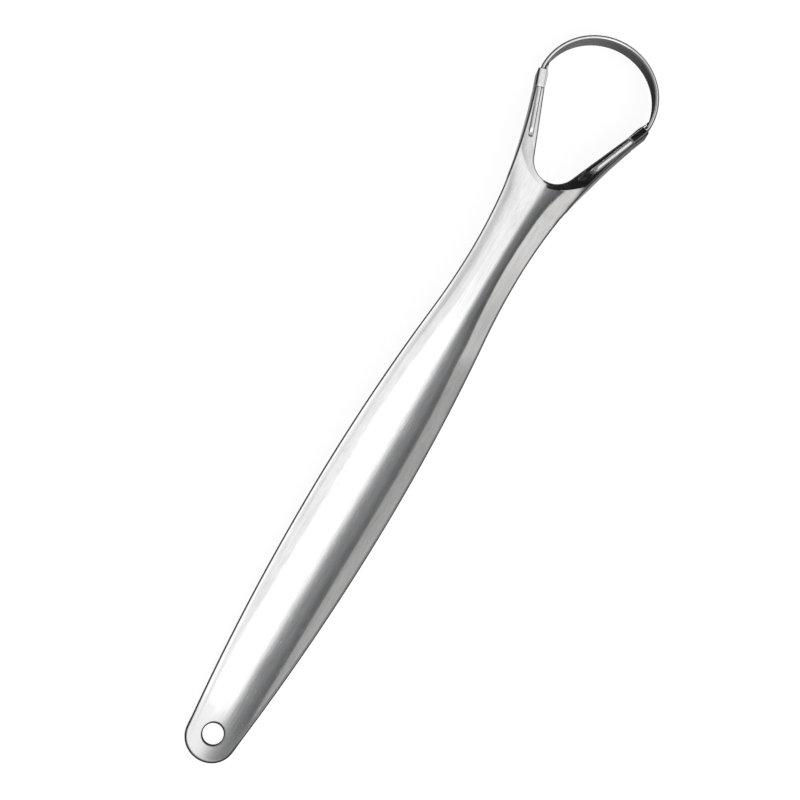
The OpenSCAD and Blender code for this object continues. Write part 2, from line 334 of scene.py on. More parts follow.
# How it lies: the tail's lower edge and the band's rounded tip touch the table
TIP_X = LOOP_X + LOOP_D / 2 - BAND_EDGE_R
TAIL_FOOT = along_path(-TAIL_LEN, 0.0, -depth(-TAIL_LEN) - SHEET_T)
TIP_FOOT = along_path(TIP_X, 0.0, -BAND_GAP - BAND_H + BAND_EDGE_R)
SPAN = TAIL_FOOT - TIP_FOOT
REST = math.acos(-BAND_EDGE_R / np.linalg.norm(SPAN)) + math.atan2(SPAN[0], SPAN[2])


def tilted(p):
    """Turns points about Y by the resting angle."""
    c, s = math.cos(REST), math.sin(REST)
    return np.stack([p[..., 0] * c - p[..., 2] * s, p[..., 1], p[..., 0] * s + p[..., 2] * c], -1)


REST_LOW = tilted(TAIL_FOOT)[2]
REST_MID = (tilted(along_path(-TAIL_LEN, 0.0, -depth(-TAIL_LEN)))[0]
            + tilted(along_path(TIP_X, 0.0, -BAND_GAP - BAND_EDGE_R))[0] + BAND_EDGE_R) / 2


def place(p):
    """Points (u, y, z) of the straightened object, bent, tilted and put where they lie, in
    metres."""
    return (tilted(along_path(p[..., 0], p[..., 1], p[..., 2])) - [REST_MID, 0, REST_LOW]) * MM


class Skin:
    """Collects grids of points in straightened millimetres, and joins them to one closed mesh."""

    def __init__(self):
        self.points, self.faces, self.count = [], [], 0
        self.edge, self.inside, self.strip = [], [], []

    def grid(self, points, edge=0.0, inside=0.0, strip=None, closed=(False, False), sides=(1,)):
        """Adds an n by m grid of points with quads between neighbours, and with the shares of
        painted shade on edges and on the inner face at each. Side -1 is its reflection in y = 0."""
        n, m = points.shape[:2]
        i, j = np.meshgrid(np.arange(n - (not closed[0])), np.arange(m - (not closed[1])),
                           indexing="ij")
        a, b = i * m + j, i * m + (j + 1) % m
        c, d = (i + 1) % n * m + (j + 1) % m, (i + 1) % n * m + j
        quads = np.stack([a, b, c, d], -1).reshape(-1, 4)
        edge, inside = (np.broadcast_to(share, (n, m)).reshape(-1) for share in (edge, inside))
        strip = np.zeros((n, m, 2)) if strip is None else strip
        for side in sides:
            self.points.append(points.reshape(-1, 3) * [1, side, 1])
            self.faces.append(quads[:, ::side] + self.count)
            self.edge.append(edge)
            self.inside.append(inside)
            self.strip.append(strip.reshape(-1, 2))
            self.count += n * m

    def mesh(self, name):
        """One mesh: doubles merged, faces without area dropped, normals outwards, shaded smooth."""
        data = bpy.data.meshes.new(name)
        data.from_pydata(place(np.concatenate(self.points)), [], np.concatenate(self.faces))
        for label, values in (("edge", self.edge), ("inside", self.inside), ("strip", self.strip)):
            values = np.concatenate(values)
            kind, field = ("FLOAT", "value") if values.ndim == 1 else ("FLOAT2", "vector")
            layer = data.attributes.new(label, kind, "POINT")
            layer.data.foreach_set(field, values.astype(np.float32).ravel())
        work = bmesh.new()
        work.from_mesh(data)
        bmesh.ops.remove_doubles(work, verts=work.verts, dist=WELD)
        bmesh.ops.dissolve_degenerate(work, edges=work.edges, dist=THIN)
        bmesh.ops.recalc_face_normals(work, faces=work.faces)
        work.to_mesh(data)
        work.free()
        data.shade_smooth()
        return data


def from_slit(u, y):
    """Distance of (u, y) from the outline of the slit that holds the band's tail, a strip with a
    round end, and how far it lies past the end of the strip's straight sides."""
    back = (u - CORNER[0]) * TAIL_DIR[0] + (y - CORNER[1]) * TAIL_DIR[1]
    side = (u - CORNER[0]) * TAIL_OUT[0] + (y - CORNER[1]) * TAIL_OUT[1]
    past = np.maximum(back - SLOT_END, 0)
    return np.maximum(np.hypot(past, side) - SLOT_HALF, 0), past


def front_z(u, y):
    """Height of the sheet's face: the hollow's arc, less a groove round the slit for the band's
    tail, a smooth step of the distance from the slit's outline."""
    return sheet_z(u, y, 0) - GROOVE * (1 - ease(from_slit(u, y)[0] / GROOVE_RUN))


def back_z(u, y):
    """Height of the sheet's back: the hollow's arc, one sheet's thickness further out."""
    return sheet_z(u, y, SHEET_T)


def slit_shade(u, y):
    """Share of the painted shade round the slit, a smooth step of the distance from its outline:
    faint along its sides, full at its round end."""
    away, past = from_slit(u, y)
    return (1 - ease(away / SLIT_REACH)) * mix(SLIT_SIDE_SHARE, 1.0, ease(past / SLIT_END_RUN))


def edge_rows(plan, inward, front, lead, turn_z, back, low, walled, slope=0.0):
    """Rows of points over an edge of the sheet, from its face to its back. plan is the edge seen
    from above, and inward the way into the metal. A Bezier curve runs from the face, front
    inwards, over the corner at lead + slope and height turn_z[0]. A plain edge curves on round
    the corner at turn_z[1] to the back. A walled one (share walled) drops to low, turns round in
    a half circle and rises inside the wall."""
    def skin(off, height):
        at = plan + inward * off[:, None]
        return np.stack([off, height(at[:, 0], at[:, 1])], -1)[:, None]
    face, under = skin(front, front_z), skin(back, back_z)
    zero = 0 * front
    top = np.stack([lead * (1 - walled) + slope, turn_z[0]], -1)[:, None]
    heel = np.stack([zero, turn_z[1]], -1)[:, None]
    k = walled[:, None, None]
    drop = np.stack([zero, np.maximum(turn_z[0] - WALL_ROLL, low + ARM_WALL / 2)], -1)[:, None]
    middle = mix((np.stack([lead, turn_z[2]], -1)[:, None] + heel) / 2, drop, k)
    t = np.linspace(0, 1, CURVE_STEPS + 1)[None, :, None]
    first = bezier(face, top, middle, t)
    t = np.linspace(0, 1, 2 * FACE_STEPS + CURVE_STEPS + 1)[None, 1:, None]
    plain = bezier(middle, heel, under, t)
    foot = np.stack([zero, low + ARM_WALL / 2], -1)[:, None]
    h = np.linspace(0, 1, FACE_STEPS + 1)[None, 1:, None]
    a = np.linspace(0, math.pi, CURVE_STEPS + 1)[None, 1:, None]
    half = np.concatenate([1 - np.cos(a), -np.sin(a)], -1) * ARM_WALL / 2 + foot
    wall = np.concatenate([mix(middle, foot, h), half, mix(half[:, -1:], under, h)], 1)
    rows = np.concatenate([first, mix(plain, wall, k)], 1)
    at = plan[:, None] + inward[:, None] * rows[..., :1]
    return np.concatenate([at, rows[..., 1:]], -1)


def edge_shade_share(rows, plan, reach, walled):
    """Share of the painted shade at an edge: 1 at the edge, by a smooth step to 0 at reach from
    it, and 0 under it. On a walled edge it ends higher, at the wall's rounded top."""
    away = np.linalg.norm(rows[..., :2] - plan[:, None], axis=-1) / reach[:, None]
    row = np.arange(rows.shape[1]) - CURVE_STEPS
    on_plain, on_wall = np.interp(row, [2, 5], [1, 0]), np.interp(row, [-4, 0], [1, 0])
    return (1 - ease((away - 0.6) / 0.4)) * mix(on_plain, on_wall, walled[:, None])


def outline():
    """The handle's outline as points in plan, with the way inwards: a circle arc round the tail,
    then y = half_w(u). Also where the lines to it start: places on the middle line, and runs
    along the notch's edge."""
    slope = math.asin((BELLY_X - TAIL_CX) / (SIDE_R - TAIL_R))
    arc = np.linspace(math.pi, math.pi / 2 + slope, TAIL_ARC_LINES)
    turn_u = TAIL_CX + TAIL_R * math.cos(arc[-1])
    side = np.linspace(turn_u, FAN_END, TAIL_LINES - TAIL_ARC_LINES + 1)[1:]
    start, stop = HOLE_R + HOLE_ROUND, NOTCH_X - ARM_WALL
    middle = np.linspace(start, stop, GRIP_LINES + 1)[1:]
    grip = (middle + (FAN_END - start) * (1 - ease((middle - start) / FAN_RUN))
            - FORK_LEAN * ease((middle - FORK_LEAN_X) / (stop - FORK_LEAN_X)))
    run = np.linspace(0, NOTCH_RUN, FORK_LINES + 1)[1:]
    fork = np.interp(run, [0, ARC_LEN / 2, ARC_LEN, NOTCH_RUN],
                     [grip[-1], *FORK_STOPS, CLIP_OUTER[0] + CLIP_TUCK])
    u = np.concatenate([side, grip, fork])
    rate = (half_w(u + 0.01) - half_w(u - 0.01)) / 0.02
    round_tail = np.stack([np.cos(arc), np.sin(arc)], -1)
    plan = np.concatenate([[TAIL_CX, 0] + TAIL_R * round_tail, np.stack([u, half_w(u)], -1)])
    plan[0, 1] = 0
    inward = np.concatenate([-round_tail, unit(np.stack([rate, -1 + 0 * u], -1))])
    inward[0] = 1, 0
    return plan, inward, middle, run


def notch_line(run):
    """Edge of the notch, run along it from its bottom: an arc, then a straight side, and the way
    into the sheet."""
    a = math.pi - np.minimum(run, ARC_LEN) / NOTCH_R
    into = np.stack([np.cos(a), np.sin(a)], -1)
    ahead = np.stack([np.sin(a), -np.cos(a)], -1)
    into[run == 0] = -1, 0
    straight = np.maximum(0, run - ARC_LEN)[:, None] * ahead
    return np.array([NOTCH_CX, 0]) + NOTCH_R * into + straight, into


def outer_edge(plan, inward, soft_tail):
    """Rows over the outline's edge and their painted shade: slanting like the sheet on the handle,
    and a wall behind each arm. A soft rim is rolled wider, to a blunter corner, and its painted
    shade reaches further; only the tail's is soft with soft_tail, and the whole handle's without."""
    u = plan[:, 0]
    line = np.arange(len(u))
    past_tail = ease((u - plan[TAIL_ARC_LINES, 0]) / RIM_RUN) * (line >= TAIL_ARC_LINES)
    lead = SHEET_T * np.sin(hollow(u)[1]) * past_tail
    rim = plan + inward * lead[:, None]
    walled = ease((u - BEND_END) / RIM_RUN)
    square = sheet_z(u, plan[:, 1], 0)
    level = sheet_z(rim[:, 0], rim[:, 1], 0)
    soft = (1 - walled) * (1 - ease(line / TAIL_ARC_LINES) if soft_tail else 1)
    rows = edge_rows(plan, inward, ARM_WALL + lead + RIM_ROLL * soft, lead,
                     (mix(level, square, walled), back_z(u, plan[:, 1]), level),
                     ARM_WALL + 0 * u, wall_low(u), walled, RIM_SLOPE * soft)
    return rows, edge_shade_share(rows, plan, mix(EDGE_REACH, SOFT_EDGE_REACH, soft), walled)


def hole_edge(plan):
    """Rows over the hanging hole's edge and their painted shade: a circle, with a point towards
    each of the tail's lines, its painted shade wider along the handle by the square of the cosine."""
    corner = plan[TAIL_ARC_LINES]
    bearing = np.concatenate([np.arctan2(plan[:TAIL_ARC_LINES, 1], plan[:TAIL_ARC_LINES, 0]),
                              np.linspace(math.atan2(corner[1], corner[0]), 0,
                                          TAIL_LINES - TAIL_ARC_LINES)])
    into = np.stack([np.cos(bearing), np.sin(bearing)], -1)
    into[0], into[-1] = (-1, 0), (1, 0)
    zero = np.zeros(TAIL_LINES)
    ring = HOLE_R * into
    face, back = sheet_z(*ring.T, 0), back_z(*ring.T)
    rows = edge_rows(ring, into, zero + HOLE_ROUND, zero, (face, back, face),
                     zero + HOLE_ROUND, back, zero)
    return rows, edge_shade_share(rows, ring, HOLE_REACH + HOLE_REACH_LONG * into[:, 0] ** 2, zero)


def notch_edge(run):
    """Rows over the notch's edge and their painted shade: plain at its bottom, walled where the
    arms' walls have grown."""
    plan, into = notch_line(run)
    zero = np.zeros(len(plan))
    face, back, low = sheet_z(*plan.T, 0), back_z(*plan.T), wall_low(plan[:, 0])
    rows = edge_rows(plan, into, zero + ARM_WALL, zero, (face, back, face),
                     zero + ARM_WALL, low, ease((back - low) / 0.8))
    return rows, edge_shade_share(rows, plan, zero + NOTCH_REACH, zero)


def half_sheet(skin, side):
    """One half of the pressed sheet, the left one for side 1: straight lines in plan from an inner
    curve (the hole, the middle line, the notch) to the outline, both skins arcs across the handle,
    joined over the edges by edge_rows. The left rim and the tail's are rolled softer."""
    plan, inward, middle, run = outline()
    outer, outer_shade = outer_edge(plan, inward, side < 0)
    hole, hole_shade = hole_edge(plan)
    inner, notch_shade = notch_edge(np.concatenate([[0], run]))
    # Each edge's rows carry painted shade, a dark outline
    for rows, shade_share in ((outer, outer_shade), (hole, hole_shade), (inner, notch_shade)):
        skin.grid(rows, shade_share, sides=(side,))

    ends = []
    for row, steps, height in ((0, FRONT_STEPS, front_z), (-1, BACK_STEPS, back_z)):
        spine = np.stack([middle, 0 * middle, 0 * middle], -1)[:-1]
        start, stop = np.concatenate([hole[:, row], spine, inner[:, row]]), outer[:, row]
        t = np.linspace(0, 1, steps + 1)[None, :]
        u, y = mix(start[:, :1], stop[:, :1], t), mix(start[:, 1:2], stop[:, 1:2], t)
        points = np.stack([u, y, height(u, y)], -1)
        points[:TAIL_LINES, 0] = hole[:, row]
        points[TAIL_LINES + GRIP_LINES - 1:, 0] = inner[:, row]
        points[:, -1] = stop
        # The face carries painted shade round the slit
        skin.grid(points, slit_shade(u, y) if row == 0 else 0.0, sides=(side,))
        ends.append(points[-1, ::-1])

    # The arm's end, closed inside the clip: its outer way round against its inner way
    low_row = CURVE_STEPS + FACE_STEPS + CURVE_STEPS // 2
    way_out = np.concatenate([outer[-1, low_row:0:-1], ends[0], inner[-1, 1:low_row + 1]])
    way_in = np.concatenate([outer[-1, low_row:-1], ends[1], inner[-1, low_row:-1][::-1]])
    pick = np.round(np.linspace(0, len(way_in) - 1, len(way_out))).astype(int)
    skin.grid(np.stack([way_out, way_in[pick]]), sides=(side,))


def sheet(skin):
    """The pressed sheet in its two halves, joined on the middle line."""
    half_sheet(skin, 1)
    half_sheet(skin, -1)


def beside_tail(back, outward, z):
    """Points by the band's tail: back along it from the corner, outward off its middle line, at
    height z."""
    back, outward, z = np.broadcast_arrays(back, outward, z)
    return np.stack([CORNER[0] + back * TAIL_DIR[0] + outward * TAIL_OUT[0],
                     CORNER[1] + back * TAIL_DIR[1] + outward * TAIL_OUT[1], z], -1)


def round_box(low, high, radii, steps=6, side_steps=4):
    """Closed outline of a box with its own radius at each corner, from the low left one round by
    the left side: quarter circles with straight sides between them."""
    corners = [(low[0], low[1], 1, 1, math.pi * 1.5), (low[0], high[1], 1, -1, math.pi),
               (high[0], high[1], -1, -1, math.pi / 2), (high[0], low[1], -1, 1, 0)]
    arcs = []
    for (x, z, sx, sz, start), r in zip(corners, radii):
        a = start - np.linspace(0, math.pi / 2, steps + 1)
        arcs.append(np.stack([x + sx * r + r * np.cos(a), z + sz * r + r * np.sin(a)], -1))
    t = np.linspace(0, 1, side_steps + 1)[1:-1, None]
    return np.concatenate([np.concatenate([arc, mix(arc[-1], arcs[(k + 1) % 4][0], t)])
                           for k, arc in enumerate(arcs)])


def clip(skin):
    """Closed clip at an arm's end: a ring-shaped section between a rounded box and its bore,
    carried along the tail, with quarter-round edges at both ends. Its face slopes down towards
    the loop's inside, and the outer edge of that face and the end at the mouth carry painted shade."""
    outer = round_box((-CLIP_HALF, WALL_FOOT), (CLIP_HALF, TAB_T), CLIP_RADII)
    slope = (CLIP_HALF - outer[:, 0]) / (2 * CLIP_HALF) * ease((outer[:, 1] + 1) / 1.2)
    outer[:, 1] -= TAB_SLOPE * slope
    bore = round_box((-SLOT_HALF, -CHANNEL_DEPTH), (SLOT_HALF, 0.0), BORE_RADII)
    gap = np.linalg.norm(bore - outer, axis=-1)[:, None]
    r_out, r_in, start, stop = CLIP_ROUND, BORE_ROUND, MOUTH_GAP, CLIP_END
    a = np.linspace(0, math.pi / 2, 5)[None, :]
    one = np.ones_like(gap)
    x = np.concatenate([
        start + r_out + (stop - start - 2 * r_out) * np.linspace(0, 1, 9)[None, :] * one,
        (stop - r_out + r_out * np.sin(a[:, 1:])) * one,
        (stop - r_in + r_in * np.cos(a)) * one,
        (stop - r_in - (stop - start - 2 * r_in) * np.linspace(0, 1, 5)[None, 1:]) * one,
        (start + r_in - r_in * np.sin(a[:, 1:])) * one,
        (start + r_out - r_out * np.cos(a[:, :-1])) * one], 1)
    s = np.concatenate([
        0 * one * np.ones((1, 9)),
        (r_out - r_out * np.cos(a[:, 1:])) * one,
        gap - r_in + r_in * np.sin(a),
        gap * np.ones((1, 4)),
        gap - r_in + r_in * np.cos(a[:, 1:]),
        (r_out - r_out * np.sin(a[:, :-1])) * one], 1)
    at = outer[:, None] + (bore - outer)[:, None] * (s / gap)[..., None]
    # Painted shade on the outer edge of the clip's face and at its mouth end
    on_edge = (ease((outer[:, :1] - CLIP_HALF + CLIP_DARK) / CLIP_DARK_RUN)
               * ease((outer[:, 1:] + 0.6) / 0.4) * (s < 0.05))
    dark = np.maximum(1 - ease((x - start) / CLIP_DARK_RUN), on_edge)
    skin.grid(beside_tail(x, at[..., 0], at[..., 1]), dark, closed=(True, True), sides=(1, -1))


def lip(skin):
    """Inner lip: a thin upright plate along the clip's inner wall that runs on past the mouth and
    turns with the band, on a smoothed path. Its section is a rounded box, powers of cosine and
    sine, which tapers in height and thickness to a round end."""
    full = ARM_WALL + LIP_T
    off = BAND_T / 2 + BAND_GAP + full / 2
    ring_r = LOOP_D / 2 - BAND_T - BAND_GAP - full / 2
    start = beside_tail(CLIP_END - LIP_START, -off, 0.0)[:2]
    last = math.acos((CORNER[0] - MOUTH_GAP + LIP_LEN - LOOP_X) / ring_r)
    ring = np.linspace(last + LIP_TURN, last, 15)
    arc = LOOP_C + ring_r * np.stack([np.cos(ring), np.sin(ring)], -1)
    path = np.concatenate([start + (arc[0] - start) * np.linspace(0, 1, 25)[:-1, None], arc])
    for _ in range(8):
        path[1:-1] = (path[:-2] + 2 * path[1:-1] + path[2:]) / 4
    way = unit(np.gradient(path, axis=0))
    side = np.stack([-way[:, 1], way[:, 0]], -1)
    run = np.cumsum(np.hypot(*np.diff(path, axis=0, prepend=path[:1]).T))
    run = run / run[-1]
    end = np.sqrt(np.clip(1 - ((run - 1 + LIP_NOSE) / LIP_NOSE).clip(0) ** 2, 0, 1))
    stand = LIP_STAND / 2 * ease(run / LIP_SLIM_FROM) * (1 - ease((run - 0.5) / 0.5))
    slim = ease((run - LIP_SLIM_FROM) / (1 - LIP_SLIM_FROM))
    thick = (full / 2 * mix(1, LIP_SLIM, slim) + stand) * end
    high = LIP_TOP - LIP_SINK * ease((run - 0.75) / 0.25)
    low = WALL_FOOT + LIP_RISE + LIP_LIFT * ease((run - 0.4) / 0.6)
    mid, tall = (high + low) / 2, (high - low) / 2
    a = np.linspace(0, 2 * math.pi, 33)[:-1][None, :]
    cross, rise = np.round(np.cos(a), 9), np.round(np.sin(a), 9)
    on_face = (cross < -0.5) * (rise >= 0)
    cross, rise = np.sign(cross) * np.abs(cross) ** 0.5, np.sign(rise) * np.abs(rise) ** 0.22
    shift = (full / 2 - 0.01 - thick)[:, None]
    plan = path[:, None] + side[:, None] * (shift + thick[:, None] * cross)[..., None]
    z = mid[:, None] + (tall * mix(0.6, 1, end))[:, None] * rise
    points = np.concatenate([plan, z[..., None]], -1)
    points = np.concatenate([points[:1].mean(1, keepdims=True) + 0 * points[:1], points])
    # Painted shade on the lip's face, a fifth of full strength
    skin.grid(points, LIP_SHADE * on_face, closed=(False, True), sides=(1, -1))


def band(skin):
    """The band: a tall thin section with rounded long edges, carried along loop, corner bends and
    tails, whose ends are rounded in height and in thickness. Its strip coordinates are the way
    along it and its height, in metres."""
    loop = np.linspace(0, LOOP_END, LOOP_LINES + 1)
    corner = np.linspace(LOOP_END, TAIL_TURN, CORNER_LINES + 1)[1:]
    tail = BAND_TAIL * (1 - (1 - np.linspace(0, 1, STRAIGHT_LINES + 1)[1:]) ** 1.6)
    x = np.concatenate([LOOP_X + BAND_R * np.cos(loop), BEND_C[0] + CORNER_R * np.cos(corner),
                        CORNER[0] + tail * TAIL_DIR[0]])
    y = np.concatenate([BAND_R * np.sin(loop), BEND_C[1] + CORNER_R * np.sin(corner),
                        CORNER[1] + tail * TAIL_DIR[1]])
    turn = np.concatenate([loop, corner, np.full(len(tail), TAIL_TURN)])
    left = np.concatenate([np.full(len(loop) + len(corner), BAND_TAIL), BAND_TAIL - tail])
    used = BAND_TAIL - left
    tall = BAND_H / 2 - arc_rise(TAIL_END_R, TAIL_END_R - np.minimum(left, TAIL_END_R))
    thick = np.sqrt(np.clip(1 - (1 - np.minimum(left, TAIL_NOSE) / TAIL_NOSE) ** 2, 0, 1))
    r = mix(BAND_EDGE_R, TAIL_EDGE_R, ease(used / TAIL_EDGE_RUN))[:, None]
    a = np.linspace(0, math.pi / 2, 7)[None, :]
    out, up = BAND_T / 2 - r + r * np.cos(a), r * np.sin(a)
    faces = np.linspace(-1, 1, 13)[None, 1:-1] + 0 * r
    side = BAND_T / 2 + 0 * faces
    offs = np.concatenate([out, -out[:, ::-1], -side, -out, out[:, ::-1], side], 1)
    lift = np.concatenate([up, up[:, ::-1], 0 * side, -up, -up[:, ::-1], 0 * side], 1)
    level = 1 + 0 * out
    share = np.concatenate([level, level, -faces, -level, -level, faces], 1)
    z = share * np.maximum(tall[:, None] - r, 0) + lift
    o = offs * thick[:, None]
    plan = np.stack([x[:, None] + o * np.cos(turn)[:, None],
                     y[:, None] + o * np.sin(turn)[:, None]], -1)
    points = np.concatenate([plan, (z - BAND_GAP - BAND_H / 2)[..., None]], -1)
    steps = np.hypot(np.diff(x, prepend=x[0]), np.diff(y, prepend=y[0]))
    strip = np.stack(np.broadcast_arrays(np.cumsum(steps)[:, None], z), -1) * MM

    # Painted shade: the loop's outer edge above, both inner edges, and faintly the tails' edges
    on_loop = ease(1 - used / LOOP_SHADE_RUN)[:, None]
    in_from_face = BAND_T / 2 - np.abs(offs)
    on_corner = np.abs(share) == 1
    edge = (ease((0.32 - (BAND_T / 2 - offs)) / 0.1) * (share == 1) * on_loop
            + ease((0.12 - (BAND_T / 2 + offs)) / 0.06) * on_corner
            + 0.4 * ease((0.13 - in_from_face) / 0.08) * on_corner * (1 - on_loop))
    inner = (offs < 0) * (np.abs(share) < 1)
    # Painted shade on the band's inner face: 0.85 at the loop's tip, easing past the corners to
    # half strength on the left half (side 1) and full strength on the right half (side -1)
    for half, inner_shade_end in ((1, 0.5), (-1, 1.0)):
        inside = inner * mix(0.85, inner_shade_end, ease(turn / 1.2))[:, None]
        skin.grid(points, np.minimum(edge, 1), inside, strip, (False, True), (half,))


class Flow:
    """One output socket. Arithmetic on it adds Math nodes, with numbers or other flows."""

    def __init__(self, graph, socket):
        self.graph, self.socket = graph, socket

    def out(self, name):
        """Another output of the same node."""
        return Flow(self.graph, self.socket.node.outputs[name])

    def math(self, operation, *others):
        """A Math node on this flow and the others."""
        values = dict(enumerate((self,) + others))
        return self.graph.node("ShaderNodeMath", {"operation": operation}, values)

    def __add__(self, other):
        return self.math("ADD", other)

    def __sub__(self, other):
        return self.math("SUBTRACT", other)

    def __rsub__(self, other):
        return self.graph.node("ShaderNodeMath", {"operation": "SUBTRACT"}, {0: other, 1: self})

    def __mul__(self, other):
        return self.math("MULTIPLY", other)

    __radd__, __rmul__ = __add__, __mul__

    def step(self, start, stop, low=0.0, high=1.0):
        """Smooth step from low at start to high at stop."""
        return self.graph.node("ShaderNodeMapRange", {"interpolation_type": "SMOOTHSTEP"},
                               {"Value": self, "From Min": start, "From Max": stop,
                                "To Min": low, "To Max": high})


class Graph:
    """The nodes of one material or world."""

    def __init__(self, owner):
        owner.use_nodes = True
        self.owner, self.tree = owner, owner.node_tree
        self.tree.nodes.clear()

    def node(self, kind, settings=None, sockets=None):
        """Adds a node: its settings first, then the values or links of its sockets. Gives its
        first output."""
        made = self.tree.nodes.new(kind)
        for key, value in (settings or {}).items():
            setattr(made, key, value)
        for key, value in (sockets or {}).items():
            if isinstance(value, Flow):
                self.tree.links.new(value.socket, made.inputs[key])
            else:
                made.inputs[key].default_value = value
        live = [o for o in made.outputs if o.enabled]
        return Flow(self, live[0]) if live else None

    def mix(self, share, low, high):
        """Colour from low to high by share, through a Mix node, whose colour sockets are 6 and 7.
        low and high are colours or flows."""
        low, high = (end if isinstance(end, Flow) else (*end, 1.0) for end in (low, high))
        return self.node("ShaderNodeMix", {"data_type": "RGBA"}, {"Factor": share, 6: low, 7: high})

    def attribute(self, name):
        """The node that reads one of the piece's own attributes."""
        return self.node("ShaderNodeAttribute", {"attribute_name": name})


def noise(graph, where, stretch, detail=2.0, rough=0.5, turn=(0.0, 0.0, 0.0)):
    """Noise whose grains are 1 / stretch metres long each way."""
    vector = graph.node("ShaderNodeMapping", {},
                        {"Vector": where, "Scale": stretch, "Rotation": turn})
    return graph.node("ShaderNodeTexNoise", {}, {"Vector": vector, "Scale": 1.0,
                                                 "Detail": detail, "Roughness": rough})


def grey(value, blue=0.0):
    """A grey of one value, with a little more blue where that is given."""
    return value, value, value + blue


def steel(name, colour, edge_shade_colour, inner_shade_colour, base_rough, line_scale, along_strip=False):
    """Polished stainless steel: drawing lines, a cloudy film from handling, fine scratches,
    rougher cut edges and inner face with painted shade in their colour, and a rougher zone round
    the hanging hole with painted shade in its colour."""
    g = Graph(bpy.data.materials.new(name))
    body = g.node("ShaderNodeTexCoord").out("Object")
    where = g.attribute("strip").out("Vector") if along_strip else body
    lines = noise(g, where, line_scale, 3.0, 0.6)
    broad = noise(g, where, tuple(v / 6 for v in line_scale), 2.0, 0.5)
    cloud = noise(g, body, FILM_GRAIN, 4.0, 0.55)
    scratch = 0.0
    for k, angle in enumerate(SCRATCH_TURNS):
        thin = noise(g, body, (90.0 + 20 * k, 2600.0, 900.0), 1.0, 0.3, (0.0, 0.0, angle))
        patch = noise(g, body, (150.0 + 35 * k, 170.0, 170.0), 1.0, 0.4).step(0.56, 0.66)
        scratch = (thin - 0.5).math("ABSOLUTE").step(0.0, 0.012, 1.0, 0.0) * patch + scratch
    # The edge and inside shares paint shade: they darken the colour towards the edge and inner
    # colours and make the steel less metallic
    edge = g.attribute("edge").out("Fac")
    inside = g.attribute("inside").out("Fac")
    along = g.node("ShaderNodeSeparateXYZ", {}, {"Vector": body}).out("X")
    # A rougher zone round the hanging hole, which also darkens the colour there as painted shade
    dull_and_shade = along.step(*DULL_SHADE_SPAN, 1.0, 0.0)
    shade = ((lines - 0.5) * 1.1 + (broad - 0.5) * 0.9 + (cloud - 0.5) * 0.7
             - dull_and_shade * 0.75 + 0.5)
    tint = g.mix(shade, tuple(c * 0.82 for c in colour), tuple(c * 1.14 for c in colour))
    tint = g.mix(inside * (0.85 + lines * 0.3), g.mix(edge, tint, edge_shade_colour), inner_shade_colour)
    rough = (base_rough + (lines - 0.5) * 0.08 + (cloud - 0.5) * 0.06 + scratch * 0.10
             + edge * 0.08 + inside * 0.14 + dull_and_shade * 0.20)
    height = lines * 0.55 + broad * 0.45 - scratch * 0.5
    bump = g.node("ShaderNodeBump", {}, {"Strength": 0.14, "Distance": 0.00003, "Height": height})
    shader = g.node("ShaderNodeBsdfPrincipled", {}, {
        "Base Color": tint, "Metallic": 1.0 - edge.math("MAXIMUM", inside) * 0.85,
        "Roughness": rough, "Specular IOR Level": 0.0,
        "Specular Tint": (*grey(0.08), 1.0), "Normal": bump})
    g.node("ShaderNodeOutputMaterial", {}, {"Surface": shader})
    return g.owner


def piece(name, draw, material, slot, *nodes):
    """An object at the origin that rides on the tool's one body and stands for CAD nodes."""
    skin = Skin()
    draw(skin)
    obj = bpy.data.objects.new(name, skin.mesh(name))
    bpy.context.scene.collection.objects.link(obj)
    obj.data.materials.append(material)
    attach(obj, "root")
    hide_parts(*nodes)


def dress():
    """Both steels, and the four pieces made of them."""
    # The edge and inner colours are the dark colours of painted shade
    handle_steel = steel("handle_polished", colour=grey(0.80), edge_shade_colour=grey(0.05, 0.003),
                         inner_shade_colour=grey(0.12, 0.005), base_rough=0.10,
                         line_scale=HANDLE_LINES)
    band_steel = steel("band_polished", colour=grey(0.80), edge_shade_colour=grey(0.14, 0.005),
                       inner_shade_colour=grey(0.085, 0.003), base_rough=0.14,
                       line_scale=BAND_LINES, along_strip=True)
    piece("handle_sheet", sheet, handle_steel, "handle_steel", "handle")
    piece("handle_clips", clip, handle_steel, "handle_steel", "handle")
    piece("handle_lips", lip, handle_steel, "handle_steel", "handle")
    piece("scraping_band", band, band_steel, "band_steel", "scraper_band")


